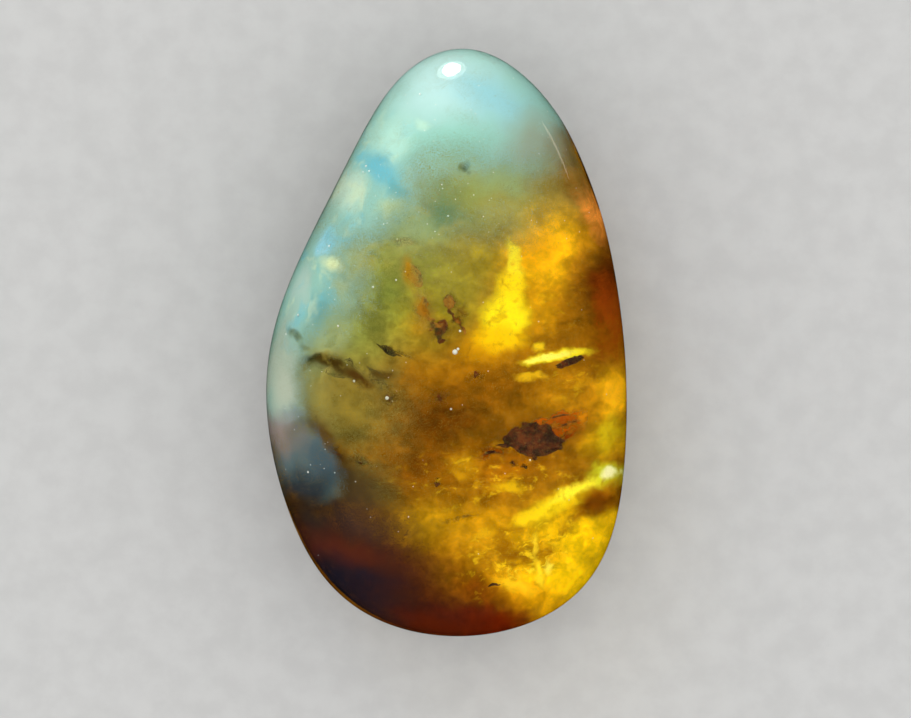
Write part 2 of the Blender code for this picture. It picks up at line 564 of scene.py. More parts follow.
# The blue patches on the top and the left are painted glow, where light raises blue in the amber
VEIL_PATCHES = (
    ((450, 85), (90, 60, THROUGH), 0, 0.9, 0.95, "#BCDEE2"),
    ((494, 96), (60, 36, FRONT), -20, 0.9, 0.8, "#96CCDA"),
    ((530, 140), (46, 44, FRONT), 20, 0.9, 0.85, "#98A494"),
    ((572, 158), (32, 50, FRONT), 30, 0.9, 0.9, "#8A6E48"),
    ((445, 142), (70, 40, FRONT), 0, 0.9, 0.7, "#9AD0C6"),
    ((480, 192), (80, 28, FRONT), 0, 0.9, 0.9, "#A2B67C"),
    ((440, 208), (34, 32, FRONT), -20, 1.0, 0.6, "#749E8C"),
    ((461, 169), (6, 5, FRONT), 0, 0.9, 0.8, "#5C6636"),
    ((394, 136), (34, 44, FRONT), -30, 0.9, 0.8, "#C0E8E0"),
    ((377, 168), (34, 26, FRONT), -50, 0.8, 1.0, "#74BCD0"),
    ((392, 190), (20, 14, FRONT), -40, 0.8, 0.6, "#5BA6B6"),
    ((348, 192), (20, 30, FRONT), -20, 0.9, 0.7, "#CCE0D2"),
    ((387, 208), (18, 13, FRONT), 0, 0.9, 0.8, "#BCD0A6"),
    ((423, 119), (11, 9, FRONT), 0, 0.9, 0.35, "#DCF6DC"),
    ((330, 239), (18, 20, FRONT), -20, 0.8, 0.9, "#A0DCF4"),
    ((335, 261), (13, 12, FRONT), 0, 0.9, 0.85, "#F2FAC6"),
    ((371, 243), (9, 8, FRONT), 0, 0.9, 0.8, "#C8CC96"),
    ((358, 256), (16, 22, FRONT), -10, 0.9, 0.7, "#B8D8BC"),
    ((340, 290), (14, 22, FRONT), -10, 0.9, 0.7, "#BCCCA4"),
    ((314, 312), (17, 26, FRONT), -10, 0.8, 0.85, "#66A6B2"),
    ((300, 285), (14, 44, FRONT), -20, 0.9, 0.6, "#BCCCC8"),
    ((283, 340), (14, 44, FRONT), -10, 0.9, 0.7, "#B4C2B8"),
    ((282, 384), (30, 60, THROUGH), 0, 0.9, 0.9, "#BEC6B8"),
    ((304, 396), (18, 34, FRONT), 0, 0.9, 0.7, "#9CAC98"),
    ((300, 460), (90, 50, THROUGH), 0, 0.5, 1.0, "#5E767E"),
    ((291, 414), (20, 14, FRONT), -20, 0.9, 0.8, "#8298A2"),
    ((274, 434), (26, 34, THROUGH), 0, 0.9, 0.95, "#A89A9A"),
    ((297, 442), (26, 24, THROUGH), -30, 0.9, 0.9, "#80807E"),
    # Painted shade: this row and the next two darken the lower left towards black
    ((330, 466), (42, 24, THROUGH), -34, 0.8, 0.95, "#4C626E"),
    ((302, 490), (60, 28, THROUGH), 0, 0.8, 0.95, "#2C363E"),
    ((305, 520), (80, 34, THROUGH), 0, 0.6, 1.0, "#2A221C"),
    ((315, 420), (7, 22, FRONT), 24, 0.9, 0.8, "#7A5430"),
    ((326, 438), (8, 22, FRONT), 46, 0.9, 0.8, "#6C4A22"),
    ((294, 337), (4, 13, FRONT), 40, 0.9, 0.8, "#566448"),
    ((302, 349), (4, 10, FRONT), 60, 0.9, 0.7, "#566448"),
)

# The left flank, where the veil is flecked with cream and sky blue
FLANK = ((330, 230), (70, 170, FRONT), -30, 0.5, 0.55)


def milky_veil_glow_and_shade(find):
    """Clouds of microscopic bubbles under the skin in mint green and blue, the blue a painted
    glow, with painted shade at the lower left.
    """
    material, tree = new_material("milky_veil_glow_and_shade")
    place = warped_place(tree, *SOFT_DRIFT)
    patches = placed(VEIL_PATCHES, find)
    colour = painted(tree, linear("#98C6C0"), patches, spots(tree, place, patches))
    flank = spots(tree, place, placed((FLANK,), find))[0]
    cream = combine(tree, "MULTIPLY", cloudy(tree, place, 1.0, 0.50, 0.76, detail=2.0), flank)
    sky = combine(tree, "MULTIPLY", cloudy(tree, place, 1.3, 0.48, 0.28, detail=2.0), flank)
    colour = laid_over(tree, colour, linear("#D4E4C6"), cream)
    # The sky-blue flecks are part of the painted blue glow
    colour = laid_over(tree, colour, linear("#74C4DA"), sky)
    thick = thickness(tree, spots(tree, place, placed(VEIL_CLOUDS, find)))
    thick = thinned(tree, thick, cloudy(tree, place, 1.8, 0.60, 0.30), 0.12)
    end_layer(tree, colour, dusted(tree, place, thick))
    return material


HAZE_CLOUDS = (
    ((450, 110), (190, 165, THROUGH), 0, 0.7, 0.95),
    ((410, 235), (115, 105, THROUGH), 0, 1.0, 0.6),
    ((500, 195), (75, 65, FRONT), 0, 1.0, 0.75),
    ((300, 330), (70, 190, THROUGH), -10, 0.7, 0.93),
    ((350, 410), (90, 80, THROUGH), 0, 1.0, 0.35),
    ((320, 432), (14, 36, FRONT), 30, 0.9, 0.8),
    ((330, 366), (34, 9, FRONT), -10, 0.8, 0.8),
    ((364, 378), (30, 12, FRONT), -34, 0.8, 0.88),
    ((388, 372), (16, 15, FRONT), -50, 0.9, 0.9),
    ((342, 366), (44, 14, FRONT), -12, 1.0, 0.5),
    ((413, 274), (12, 20, FRONT), 20, 0.9, 0.7),
    ((440, 333), (12, 11, FRONT), 0, 0.9, 0.25),
    ((425, 307), (13, 28, FRONT), 10, 0.9, 0.6),
    ((345, 488), (60, 44, THROUGH), 0, 1.0, 0.7),
    # These two clouds hold the painted shade at the lower left and the bottom
    ((322, 564), (122, 92, THROUGH), -22, 0.6, 0.98),
    ((440, 650), (160, 74, THROUGH), 0, 0.6, 0.96),
    ((617, 300), (13, 75, THROUGH), 0, 0.8, 0.7),
    ((588, 598), (80, 26, THROUGH), 40, 0.8, 0.75),
    ((446, 342), (400, 600, THROUGH), 0, 0.1, 0.04),
)

HAZE_PATCHES = (
    ((455, 184), (130, 80, THROUGH), 0, 0.8, 1.0, "#9A9C3C"),
    ((470, 172), (50, 22, FRONT), 0, 0.9, 0.8, "#A8B87C"),
    ((408, 222), (58, 48, FRONT), 0, 0.9, 0.9, "#AABE88"),
    ((440, 211), (36, 32, FRONT), -20, 1.0, 0.9, "#5A8054"),
    ((504, 186), (56, 26, FRONT), 0, 0.9, 0.9, "#A8BC84"),
    ((461, 169), (8, 7, FRONT), 0, 0.8, 0.95, "#4A5420"),
    ((464, 177), (5, 5, FRONT), 0, 0.8, 0.6, "#4A5420"),
    ((508, 216), (42, 28, FRONT), 0, 0.8, 1.0, "#AEA852"),
    ((556, 186), (36, 30, FRONT), -40, 0.9, 0.9, "#9C8A3E"),
    ((372, 262), (36, 42, FRONT), 0, 0.9, 0.9, "#B0B860"),
    ((305, 300), (60, 140, THROUGH), 0, 0.9, 0.9, "#98BA96"),
    ((330, 338), (36, 24, FRONT), 0, 0.9, 0.9, "#B2BC80"),
    ((386, 318), (60, 60, FRONT), 0, 0.9, 0.9, "#A4B45C"),
    ((413, 274), (12, 20, FRONT), 20, 0.9, 0.95, "#AE8014"),
    ((425, 307), (14, 28, FRONT), 10, 0.9, 0.95, "#A8700E"),
    ((438, 333), (12, 11, FRONT), 0, 0.9, 0.95, "#4A2404"),
    ((345, 400), (50, 50, FRONT), 0, 0.9, 0.8, "#A08E42"),
    ((304, 372), (20, 40, FRONT), 0, 0.9, 0.8, "#9CA070"),
    # Painted shade: this row and the next eight paint the lower left and the bottom dark, in dark
    # red-brown
    ((340, 570), (230, 84, THROUGH), -20, 0.4, 1.0, "#48261E"),
    ((350, 482), (60, 30, FRONT), -30, 0.8, 0.95, "#50402A"),
    ((318, 508), (60, 26, THROUGH), -20, 0.8, 0.95, "#302824"),
    ((372, 520), (74, 30, FRONT), -20, 0.8, 0.95, "#44322C"),
    ((335, 552), (70, 15, FRONT), -10, 0.9, 0.8, "#5E2A1C"),
    ((350, 584), (90, 28, THROUGH), -30, 0.8, 0.95, "#1C1C2C"),
    ((420, 598), (80, 22, THROUGH), -10, 0.9, 0.9, "#3C2220"),
    ((450, 626), (110, 20, THROUGH), 0, 0.9, 0.9, "#66220A"),
    ((505, 622), (60, 16, THROUGH), 20, 0.9, 0.9, "#7C2604"),
    ((588, 598), (90, 30, THROUGH), 40, 0.5, 1.0, "#CC7808"),
    ((548, 618), (50, 16, THROUGH), 20, 0.8, 0.9, "#9C3C06"),
    ((617, 300), (20, 90, THROUGH), 0, 0.5, 1.0, "#A84A0E"),
    ((320, 434), (14, 36, FRONT), 30, 0.9, 0.9, "#69491F"),
    ((342, 366), (44, 14, FRONT), -12, 1.0, 0.8, "#62561E"),
    ((388, 372), (18, 16, FRONT), -50, 0.9, 0.95, "#553A10"),
    ((326, 364), (34, 11, FRONT), -10, 0.9, 0.95, "#48390E"),
    ((338, 370), (30, 11, FRONT), -20, 0.9, 0.95, "#42300C"),
    ((366, 380), (26, 11, FRONT), -36, 0.8, 0.95, "#4E300C"),
    ((314, 358), (14, 5, FRONT), 0, 0.8, 0.9, "#3C3C1C"),
    ((344, 456), (30, 12, FRONT), -40, 0.9, 0.9, "#56401C"),
)

# The upper middle, where the haze is flecked with straw yellow and dark olive
OLIVE_PART = ((400, 310), (150, 150, THROUGH), 0, 0.4, 0.3)


def dusty_haze_and_shade(find):
    """Fine plant dust in the body of the stone, from sage green to dark red, with painted shade at
    the lower left and the bottom.
    """
    material, tree = new_material("dusty_haze_and_shade")
    place = warped_place(tree, *SOFT_DRIFT)
    patches = placed(HAZE_PATCHES, find)
    colour = painted(tree, linear("#9A9650"), patches, spots(tree, place, patches))
    olive = spots(tree, place, placed((OLIVE_PART,), find))[0]
    light = combine(tree, "MULTIPLY", cloudy(tree, place, 1.0, 0.50, 0.70), olive)
    dark = combine(tree, "MULTIPLY", cloudy(tree, place, 0.8, 0.46, 0.32), olive)
    colour = laid_over(tree, colour, linear("#D8C25A"), light)
    colour = laid_over(tree, colour, linear("#4E5E2A"), dark)
    thick = thickness(tree, spots(tree, place, placed(HAZE_CLOUDS, find)))
    thick = thinned(tree, thick, cloudy(tree, place, 1.5, 0.60, 0.30), 0.15)
    end_layer(tree, colour, dusted(tree, place, thick))
    return material


HEART_PATCHES = (
    ((405, 275), (105, 95, FRONT), 0, 0.9, 0.95, "#8C9C3A"),
    ((340, 325), (74, 75, FRONT), 0, 0.9, 0.95, "#9CA854"),
    ((400, 225), (60, 40, FRONT), 0, 0.9, 0.9, "#8FA870"),
    ((345, 400), (64, 46, FRONT), 0, 0.9, 0.9, "#A0882C"),
    ((432, 305), (50, 44, FRONT), 0, 0.9, 0.9, "#AA9C24"),
    ((424, 324), (20, 20, FRONT), 0, 0.9, 0.7, "#B88418"),
    ((386, 285), (24, 22, FRONT), 0, 0.9, 0.8, "#708038"),
    ((362, 265), (18, 22, FRONT), 0, 0.9, 0.7, "#B49C3A"),
    ((478, 258), (44, 34, FRONT), 0, 0.9, 0.9, "#AE9A22"),
    ((350, 432), (40, 22, FRONT), -20, 0.9, 0.9, "#6C5A20"),
    ((360, 485), (56, 34, FRONT), -20, 0.9, 0.95, "#483418"),
    ((425, 560), (40, 26, FRONT), -30, 0.9, 0.8, "#8A5A14"),
    ((384, 398), (30, 26, FRONT), 0, 0.9, 0.8, "#7A5A14"),
    # Painted shade: this row and the next two paint the lower left and the bottom dark red
    ((378, 572), (108, 46, THROUGH), -22, 0.9, 0.95, "#501E10"),
    ((440, 618), (110, 34, THROUGH), 0, 0.9, 0.95, "#5C1E0E"),
    ((508, 624), (84, 27, THROUGH), 10, 0.9, 0.95, "#7C2004"),
    ((530, 190), (70, 46, FRONT), 0, 0.9, 0.9, "#948848"),
    # Painted glow: a pool of orange light
    ((540, 248), (46, 60, FRONT), 0, 0.8, 1.0, "#FFC414"),
    ((542, 305), (30, 40, FRONT), 0, 0.9, 0.9, "#DCA20E"),
    ((564, 312), (18, 26, FRONT), 0, 0.9, 0.7, "#9A6408"),
    ((576, 262), (14, 36, FRONT), 0, 0.9, 0.7, "#A86C10"),
    ((490, 222), (44, 34, FRONT), 0, 0.9, 0.9, "#8C8448"),
    ((575, 180), (16, 34, FRONT), 30, 0.9, 0.9, "#9A6420"),
    # Painted highlight on the right rim
    ((600, 213), (11, 42, FRONT), 20, 0.8, 1.0, "#FFA042"),
    ((604, 280), (24, 70, FRONT), 0, 0.9, 0.95, "#541E04"),
    ((584, 350), (26, 50, FRONT), 0, 0.9, 0.7, "#8E5C08"),
    # Painted glow on the right edge
    ((614, 392), (18, 30, FRONT), 0, 0.8, 1.0, "#FFC014"),
    ((606, 438), (21, 30, FRONT), 0, 0.9, 0.9, "#D0A80E"),
    ((445, 420), (80, 56, FRONT), 0, 0.9, 0.95, "#5E3304"),
    ((500, 390), (60, 30, FRONT), 0, 0.9, 0.8, "#744806"),
    ((568, 398), (42, 34, FRONT), 0, 0.9, 0.8, "#C88C10"),
    ((415, 465), (46, 36, FRONT), 0, 0.9, 0.8, "#6C3A06"),
    ((508, 464), (64, 24, FRONT), 0, 0.9, 0.8, "#B87208"),
    ((455, 474), (40, 22, FRONT), 0, 0.9, 0.7, "#8A5A08"),
    ((480, 440), (26, 20, FRONT), 10, 0.9, 0.7, "#7E5206"),
    ((464, 464), (24, 18, FRONT), -20, 0.9, 0.8, "#B4860C"),
    ((430, 522), (60, 34, FRONT), 0, 0.9, 0.9, "#A8800E"),
    ((428, 514), (40, 10, FRONT), -10, 0.9, 0.8, "#CE9A10"),
    ((500, 532), (70, 40, FRONT), 0, 0.9, 0.9, "#CA940C"),
    ((478, 503), (60, 12, FRONT), 0, 0.9, 0.7, "#8E5E08"),
    # Painted glow: the bright gold where light gathers at the lower right
    ((572, 552), (80, 64, FRONT), 30, 0.8, 1.0, "#FFD008"),
    ((580, 514), (40, 10, FRONT), 30, 0.9, 0.8, "#966008"),
    ((596, 502), (26, 17, FRONT), 26, 0.8, 0.95, "#763A02"),
    ((535, 552), (34, 26, FRONT), 0, 0.9, 0.8, "#A87208"),
    # Painted glow at the bottom
    ((525, 590), (50, 20, FRONT), -10, 0.9, 0.9, "#FFB80A"),
    ((480, 588), (40, 16, FRONT), -20, 0.9, 0.8, "#7E3E08"),
)

# The faces of small cracks, painted bright yellow and white as highlights where they catch the
# light
CRACK_HIGHLIGHTS = (
    ((486, 345), (36, 22, FRONT), 10, 0.9, 0.8, "#DCA007"),
    ((538, 248), (24, 34, FRONT), 0, 0.9, 0.6, "#FFB414"),
    ((514, 262), (10, 28, FRONT), 0, 0.6, 1.0, "#FFF038"),
    ((510, 290), (17, 32, FRONT), -10, 0.7, 1.0, "#FFE41C"),
    ((506, 318), (27, 30, FRONT), -20, 0.6, 1.0, "#FFEE20"),
    ((501, 338), (30, 18, FRONT), 0, 0.7, 1.0, "#F8CC0C"),
    ((556, 356), (38, 7, FRONT), 10, 0.6, 1.0, "#FFF02C"),
    ((550, 357), (26, 4, FRONT), 10, 0.6, 1.0, "#FFFA70"),
    ((539, 346), (8, 7, FRONT), 0, 0.7, 0.9, "#F0D020"),
    ((532, 377), (20, 5, FRONT), 0, 0.6, 0.8, "#E8BC1C"),
    ((550, 506), (44, 13, FRONT), 32, 0.8, 1.0, "#F4D818"),
    ((575, 489), (34, 7, FRONT), 30, 0.8, 1.0, "#FFF43C"),
    ((528, 518), (20, 9, FRONT), 26, 0.9, 0.8, "#F8D418"),
    ((606, 432), (7, 32, FRONT), -8, 1.0, 0.85, "#DCC418"),
    ((616, 390), (10, 18, FRONT), 0, 0.8, 0.8, "#FFBC1C"),
    ((604, 474), (16, 15, FRONT), 0, 0.9, 0.9, "#E8F434"),
    ((606, 474), (8, 8, FRONT), 0, 0.7, 1.0, "#FFFFD0"),
    ((508, 487), (20, 7, FRONT), 0, 0.8, 0.9, "#E2B810"),
    ((460, 476), (14, 5, FRONT), -20, 0.9, 0.8, "#CC980C"),
    ((484, 534), (16, 7, FRONT), 20, 0.9, 0.8, "#DEAC12"),
    ((535, 545), (4, 16, FRONT), 0, 0.9, 0.8, "#FFE030"),
    ((540, 572), (5, 17, FRONT), 20, 0.8, 1.0, "#FFDC28"),
    ((548, 568), (4, 8, FRONT), 0, 0.8, 0.9, "#FFE850"),
    ((515, 585), (26, 8, FRONT), -10, 0.8, 0.9, "#FFD020"),
)

# Dark and bright folds in the crumpled parts, the dark ones painted shade and the bright ones
# painted light: size, where the noise starts and ends, strength and colour
LIT_AND_SHADED_FOLDS = (
    (0.9, 0.47, 0.32, 0.75, "#7E4A04"),
    (0.40, 0.46, 0.34, 0.55, "#8A5804"),
    (0.6, 0.54, 0.68, 0.50, "#F0BC14"),
    (0.30, 0.56, 0.68, 0.60, "#FFE024"),
)

# Where the deep part is crumpled and carries its painted folds of light and shade
CRUMPLES = (
    ((526, 552), (76, 46, FRONT), 20, 0.8, 1.0),
    ((490, 480), (120, 44, FRONT), 0, 0.9, 0.75),
    ((545, 290), (50, 70, FRONT), 0, 0.9, 0.25),
    ((570, 380), (50, 40, FRONT), 0, 0.9, 0.4),
)

# Where thin bright lines run: painted glints of light
PAINTED_GLINTS = (
    ((528, 560), (50, 34, FRONT), 10, 0.8, 1.0),
    ((486, 484), (46, 14, FRONT), 0, 0.9, 0.7),
)

# The leaf-shaped crack face, painted bright as a highlight, which has darker veins
LEAF_VEINS = ((509, 306), (34, 60, FRONT), -10, 0.5, 0.55)

# How the flow folds lie: their turn in degrees, and how much they are drawn out across the stone
FLOW_TURN = -12
FLOW_STRETCH = (0.55, 1.0, 1.0)


def wandering_lines(tree, place, size, width):
    """Thin lines that wander where a cloudy noise passes through its middle value."""
    lumps = add_node(
        tree,
        "ShaderNodeTexNoise",
        {"Scale": 1 / (size * MM), "Detail": 3.0, "Roughness": 0.5},
        {"Vector": place},
    )
    away = combine(tree, "ABSOLUTE", combine_raw(tree, "SUBTRACT", lumps.outputs["Fac"], 0.5), 0.0)
    line = add_node(
        tree,
        "ShaderNodeMapRange",
        {"From Min": width, "From Max": 0.0},
        {"Value": away},
        interpolation_type="SMOOTHSTEP",
    )
    return line.outputs["Result"]


def golden_heart(find):
    """Clear resin deep in the stone with flow folds, honey, orange, gold and lemon, and painted
    light and shade: glows, lit and shaded folds, glints and crack highlights.
    """
    material, tree = new_material("golden_heart")
    place = warped_place(tree, *HEART_DRIFT)
    patches = placed(HEART_PATCHES, find)
    colour = painted(tree, linear("#A06C0C"), patches, spots(tree, place, patches))
    crisp = warped_place(tree, *CRISP_DRIFT)
    colour = shaded(tree, colour, cloudy(tree, place, 1.0, 0.30, 0.70), 0.66, 1.24)
    colour = shaded(tree, colour, cloudy(tree, crisp, 0.40, 0.32, 0.68), 0.84, 1.14)
    crumpled = thickness(tree, spots(tree, place, placed(CRUMPLES, find)))
    flow = add_node(
        tree,
        "ShaderNodeMapping",
        {"Rotation": (0.0, 0.0, math.radians(FLOW_TURN)), "Scale": FLOW_STRETCH},
        {"Vector": crisp},
    ).outputs["Vector"]
    for size, low, high, strength, shade in LIT_AND_SHADED_FOLDS:
        fold = combine(tree, "MULTIPLY", cloudy(tree, flow, size, low, high), crumpled)
        share = combine(tree, "MULTIPLY", fold, strength)
        colour = laid_over(tree, colour, linear(shade), share)
    # Painted glints: thin lines of bright yellow light on the deep part
    lit = thickness(tree, spots(tree, place, placed(PAINTED_GLINTS, find)))
    painted_glint = combine(tree, "MULTIPLY", wandering_lines(tree, flow, 1.0, 0.020), lit)
    painted_glint = combine(tree, "MULTIPLY", painted_glint, cloudy(tree, crisp, 1.3, 0.45, 0.60))
    colour = laid_over(tree, colour, linear("#FFE83C"), combine(tree, "MULTIPLY", painted_glint, 0.8))
    # Painted highlights on crack faces, broken up by gaps
    gaps = combine(tree, "MULTIPLY", cloudy(tree, crisp, 0.45, 0.50, 0.72), 0.6)
    whole = combine(tree, "SUBTRACT", 1.0, gaps)
    patches = placed(CRACK_HIGHLIGHTS, find)
    colour = painted(tree, colour, patches, spots(tree, crisp, patches), whole)
    leaf = spots(tree, place, placed((LEAF_VEINS,), find))[0]
    veins = combine(tree, "MULTIPLY", cloudy(tree, crisp, 0.7, 0.50, 0.34), leaf)
    colour = laid_over(tree, colour, linear("#C8920A"), veins)
    # A faint painted glow over the whole colour of the deep part
    shader = dull(tree, colour, HEART_PAINTED_GLOW)
    add_node(tree, "ShaderNodeOutputMaterial", links={"Surface": shader})
    return material


STAINS = (
    ((535, 438), (56, 32, FRONT), 10, 0.9, 0.6, "#A8580C"),
    ((563, 427), (32, 18, FRONT), 20, 0.6, 1.0, "#B0500A"),
    ((567, 416), (26, 6, FRONT), 10, 0.7, 1.0, "#B8560E"),
    ((561, 438), (26, 5, FRONT), 20, 0.7, 1.0, "#74280A"),
    ((585, 416), (8, 11, FRONT), 0, 0.8, 0.9, "#E8940E"),
    ((549, 418), (20, 6, FRONT), 14, 0.6, 1.0, "#B85A0E"),
    ((490, 453), (20, 6, FRONT), 12, 0.7, 1.0, "#8A4206"),
    ((414, 275), (10, 17, FRONT), 22, 0.8, 0.9, "#B87410"),
    ((424, 308), (12, 26, FRONT), 10, 0.8, 0.9, "#B06A0C"),
    ((439, 331), (14, 13, FRONT), 0, 0.8, 0.95, "#482004"),
    ((451, 302), (9, 12, FRONT), 0, 0.9, 0.9, "#5A3008"),
    ((458, 318), (8, 26, FRONT), -24, 0.9, 0.9, "#6A3A08"),
    ((330, 366), (26, 8, FRONT), -10, 0.8, 0.9, "#4E3C10"),
    ((352, 374), (26, 10, FRONT), -24, 0.8, 0.95, "#4E3408"),
    ((378, 380), (16, 9, FRONT), -50, 0.8, 0.9, "#56300A"),
    ((389, 398), (10, 10, FRONT), 0, 0.8, 0.7, "#5A300A"),
    ((398, 352), (18, 4, FRONT), -20, 0.8, 0.7, "#5A4A10"),
    ((403, 241), (16, 6, FRONT), 0, 0.8, 0.8, "#4A4A20"),
    ((460, 169), (8, 6, FRONT), 0, 0.8, 0.9, "#4A5420"),
    ((437, 483), (6, 4, FRONT), 0, 0.7, 1.0, "#3A2404"),
    ((290, 339), (7, 8, FRONT), 0, 0.8, 0.8, "#5A6A4A"),
    ((476, 376), (10, 8, FRONT), 0, 0.8, 0.7, "#7A5008"),
    ((440, 398), (12, 10, FRONT), 0, 0.8, 0.7, "#6A3408"),
    ((312, 420), (8, 26, FRONT), 30, 0.8, 0.8, "#6A4414"),
    ((334, 452), (30, 9, FRONT), -32, 0.8, 0.8, "#54300C"),
    ((362, 462), (16, 9, FRONT), -20, 0.8, 0.8, "#4A2A0A"),
    ((513, 462), (7, 5, FRONT), 0, 0.8, 0.9, "#6A3A06"),
    ((524, 466), (5, 4, FRONT), 0, 0.8, 0.9, "#6A3A06"),
    ((460, 518), (22, 3, FRONT), 8, 0.8, 0.7, "#8A5A08"),
)


def seam_stains(find):
    """Brown and orange stains that bark and plant bits bled along the seam between two flows."""
    material, tree = new_material("seam_stains")
    place = warped_place(tree, *STAIN_DRIFT)
    stains = placed(STAINS, find)
    shares = spots(tree, place, stains)
    colour = painted(tree, linear("#7A4A0A"), stains, shares)
    alpha = thickness(tree, shares)
    end_layer(tree, colour, thinned(tree, alpha, cloudy(tree, place, 0.45, 0.58, 0.36), 0.6))
    return material


def grainy(name, dark, light, size, roughness):
    """A dull material with lumps of two colours and a rough skin."""
    material, tree = new_material(name)
    place = add_node(tree, "ShaderNodeTexCoord").outputs["Object"]
    lumps = cloudy(tree, place, size, 0.38, 0.66)
    colour = laid_over(tree, dark, light, lumps)
    skin = add_node(
        tree,
        "ShaderNodeBump",
        {"Strength": 0.6, "Distance": 0.06 * MM},
        {"Height": cloudy(tree, place, size / 3, 0.3, 0.7)},
    )
    shader = add_node(
        tree,
        "ShaderNodeBsdfPrincipled",
        {"Roughness": roughness, "Specular IOR Level": 0.3},
        {"Base Color": colour, "Normal": skin.outputs["Normal"]},
    )
    add_node(tree, "ShaderNodeOutputMaterial", links={"Surface": shader.outputs[0]})
    return material


def bark():
    """Dark brown bark with rust red fibres."""
    return grainy("bark", linear("#2E1006"), linear("#682E0C"), 0.50, 0.8)


def rotten_wood():
    """Crumbled wood, orange brown and soft."""
    return grainy("rotten_wood", linear("#5A2C0A"), linear("#B8761A"), 0.30, 0.85)


def dark_wood():
    """Wood rotted almost black."""
    return grainy("dark_wood", linear("#200A02"), linear("#742C04"), 0.35, 0.85)


def plant_matter():
    """Rotted plant bits, olive brown."""
    return grainy("plant_matter", linear("#241804"), linear("#5A420E"), 0.25, 0.85)


def pale_dust():
    """Grains of dust, and tiny air bubbles drawn as white balls whose white is a painted sparkle.
    """
    material, tree = new_material("pale_dust")
    place = add_node(tree, "ShaderNodeTexCoord").outputs["Object"]
    shine = cloudy(tree, place, 0.9, 0.3, 0.7)
    colour = laid_over(tree, linear("#C9D2CC"), linear("#FFFFFF"), shine)
    shader = add_node(
        tree, "ShaderNodeBsdfPrincipled", {"Roughness": 0.3}, {"Base Color": colour}
    )
    add_node(tree, "ShaderNodeOutputMaterial", links={"Surface": shader.outputs[0]})
    return material


def pale_floor():
    """Matt painted board."""
    material, tree = new_material("pale_floor")
    place = add_node(tree, "ShaderNodeTexCoord").outputs["Object"]
    grain = cloudy(tree, place, 1.5, 0.3, 0.7)
    colour = laid_over(tree, linear("#92908D"), linear("#979592"), grain)
    shader = add_node(
        tree, "ShaderNodeBsdfPrincipled", {"Roughness": 0.85}, {"Base Color": colour}
    )
    add_node(tree, "ShaderNodeOutputMaterial", links={"Surface": shader.outputs[0]})
    return material


# Pieces


def add_skin(shape):
    """The clear amber body with its resting spot cut, in place of the two halves."""
    cut = bmesh.ops.bisect_plane(
        shape,
        geom=[*shape.verts, *shape.edges, *shape.faces],
        plane_co=Vector((0, 0, 0)),
        plane_no=Vector((0, 0, 1)),
        clear_inner=True,
    )
    rim = [part for part in cut["geom_cut"] if isinstance(part, bmesh.types.BMEdge)]
    bmesh.ops.edgenet_fill(shape, edges=rim)
    bmesh.ops.recalc_face_normals(shape, faces=shape.faces)
    skin = add_piece("amber_body", shape, polished_amber())
    skin.data.set_sharp_from_angle(angle=math.radians(SHARP_DEGREES))
    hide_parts("amber_front", "amber_back")


def heart_shape():
    """The deep part of the stone, a smaller and flatter stone with flow folds on it."""
    shape = stone_shape(SKIN_DETAIL)
    for vert in shape.verts:
        across, along, up = vert.co
        vert.co = Vector((across * HEART_WIDTH, along * HEART_LENGTH, up * HEART_HEIGHT))
        vert.co.z += HEART_FLOOR
    shape.normal_update()
    for vert in shape.verts:
        fold = FOLD_HEIGHT * noise.noise(vert.co / FOLD_SIZE)
        fold += FOLD_HEIGHT / 3 * noise.noise(vert.co * 3 / FOLD_SIZE)
        vert.co += vert.normal * fold
    return shape


SEAM_CELLS = (60, 90)
SEAM_REACH = (9.0, 15.0)
SEAM_CLEARANCE = 0.15
SEAM_WAVE = 0.25  # how far the sheet rises and falls


def seam_shape(skin):
    """The sheet along the seam, inside the haze."""
    shape = bmesh.new()
    bmesh.ops.create_grid(shape, x_segments=SEAM_CELLS[0], y_segments=SEAM_CELLS[1], size=1.0)
    for vert in shape.verts:
        vert.co = Vector((vert.co.x * SEAM_REACH[0], vert.co.y * SEAM_REACH[1], SEAM_HEIGHT))
    outside = []
    for vert in shape.verts:
        nearest, facing, _, distance = skin.find_nearest(vert.co)
        if facing.dot(vert.co - nearest) > 0 or distance < HAZE_DEPTH + SEAM_CLEARANCE:
            outside.append(vert)
    bmesh.ops.delete(shape, geom=outside, context="VERTS")
    for vert in shape.verts:
        vert.co.z += SEAM_WAVE * noise.noise(vert.co / WAVE_LENGTH)
    return shape


def add_insides(skin):
    """The layers inside the stone, with their patches where the photograph shows them."""
    layers = (
        ("milky_veil_glow_and_shade", layer_shape(VEIL_DEPTH), milky_veil_glow_and_shade),
        ("dusty_haze_and_shade", layer_shape(HAZE_DEPTH), dusty_haze_and_shade),
        ("seam_stains", seam_shape(skin), seam_stains),
        ("golden_heart", heart_shape(), golden_heart),
    )
    for name, shape, material in layers:
        layer = tree_of(shape)

        def find(pixel, layer=layer):
            return seen_on_layer(pixel, skin, layer)

        add_piece(name, shape, material(find))


